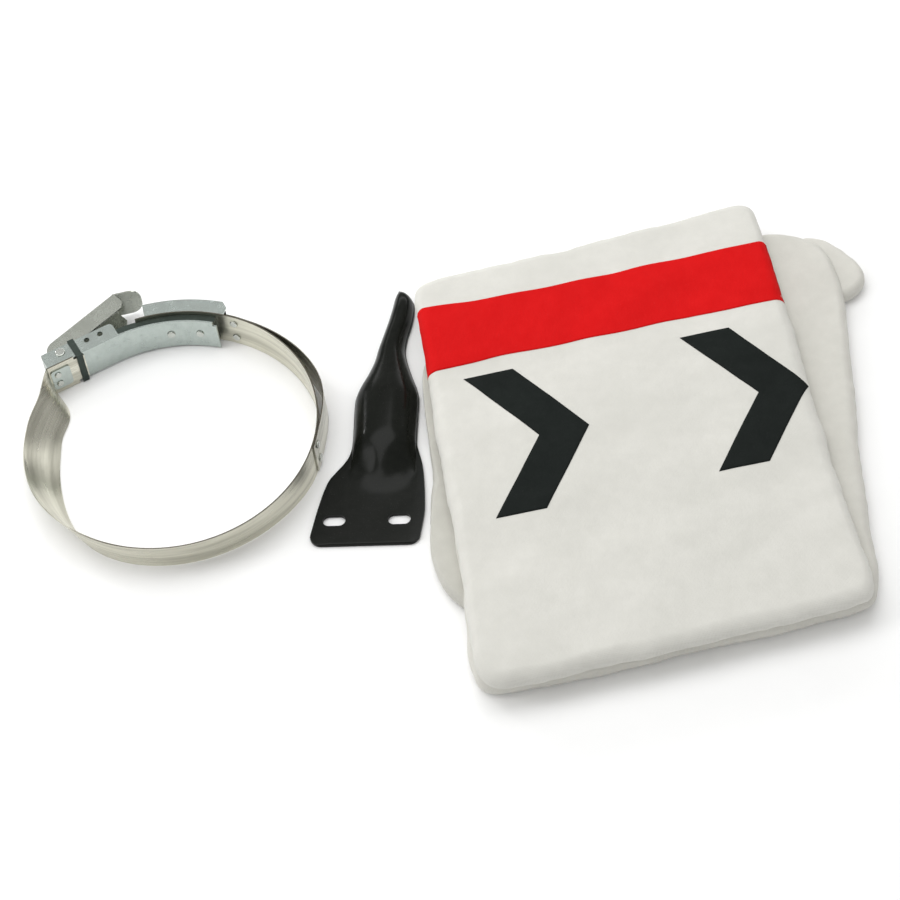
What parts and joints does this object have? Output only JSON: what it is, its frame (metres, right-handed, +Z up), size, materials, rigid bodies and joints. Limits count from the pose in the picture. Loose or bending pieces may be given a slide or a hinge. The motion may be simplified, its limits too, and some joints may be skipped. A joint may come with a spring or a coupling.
{
  "type": "dust collector filter bag kit",
  "caption": "Folded cloth dust filter bag with a printed band, a quick-release steel band clamp with an over-centre lever, and a painted steel hanger bracket.",
  "frame": {"origin": "middle of the laid-out kit's bounding box, on the surface it lies on", "axes": "+Z up; +X along the row of items from the clamp to the bag; +Y away from the viewer, towards the top of the bag"},
  "size_m": [0.526, 0.3528, 0.0267],
  "materials": {
    "strap_steel": "rolled stainless strip, fine lengthwise grain",
    "strap_steel_outer": "rolled stainless strip, fine lengthwise grain",
    "rail_steel": "zinc-plated pressed steel, satin",
    "lever_steel": "zinc-plated pressed steel, satin",
    "dark_steel": "dark oxide-coated strip",
    "rivet_steel": "bright plated",
    "pin_steel": "bright plated",
    "hook_steel": "zinc-plated spring strip",
    "black_paint": "satin black paint",
    "bag_cloth": "white woven filter cloth, matt",
    "bag_cloth_shade": "white woven filter cloth, matt",
    "red_ink": "screen-printed ink in the cloth, matt",
    "black_ink": "screen-printed ink in the cloth, matt"
  },
  "bodies": {
    "bag": {"bag_top_layers": "bag_cloth", "bag_lower_layers": "bag_cloth", "bag_mouth_cuff": "bag_cloth_shade", "bag_side_fold": "bag_cloth_shade", "print_band": "red_ink", "print_mark_left": "black_ink", "print_mark_right": "black_ink"},
    "clamp": {"strap_ring": "strap_steel", "outer_strap": "strap_steel_outer", "outer_strap_rivets": "rivet_steel", "latch_rail": "rail_steel", "tongue_spacer": "dark_steel", "keeper_loop": "dark_steel", "catch_plate": "rail_steel", "catch_studs": "rivet_steel", "rail_saddle": "rail_steel", "saddle_rivets": "rivet_steel", "lever_pin": "pin_steel"},
    "lever": {"lever": "lever_steel", "hook_pin": "pin_steel"},
    "hook": {"draw_hook": "hook_steel"},
    "bracket": {"hanger_bracket": "black_paint"}
  },
  "joints": [
    {"name": "clamp_lift", "type": "slide", "parent": "bag", "child": "clamp", "axis": [0, 0, 1], "range_m": [0, 0.15]},
    {"name": "bracket_lift", "type": "slide", "parent": "bag", "child": "bracket", "axis": [0, 0, 1], "range_m": [0, 0.15]},
    {"name": "lever_pivot", "type": "hinge", "parent": "clamp", "child": "lever", "pos_m": [-0.24581, 0.07594, 0.0127], "axis": [0, 0, 1], "range_deg": [-9, 72]},
    {"name": "hook_pivot", "type": "hinge", "parent": "lever", "child": "hook", "pos_m": [-0.23635, 0.08626, 0.0127], "axis": [0, 0, 1], "range_deg": [-72, 9]}
  ],
  "couplings": [
    {"joint": "hook_pivot", "follows": "lever_pivot", "ratio": -1}
  ]
}
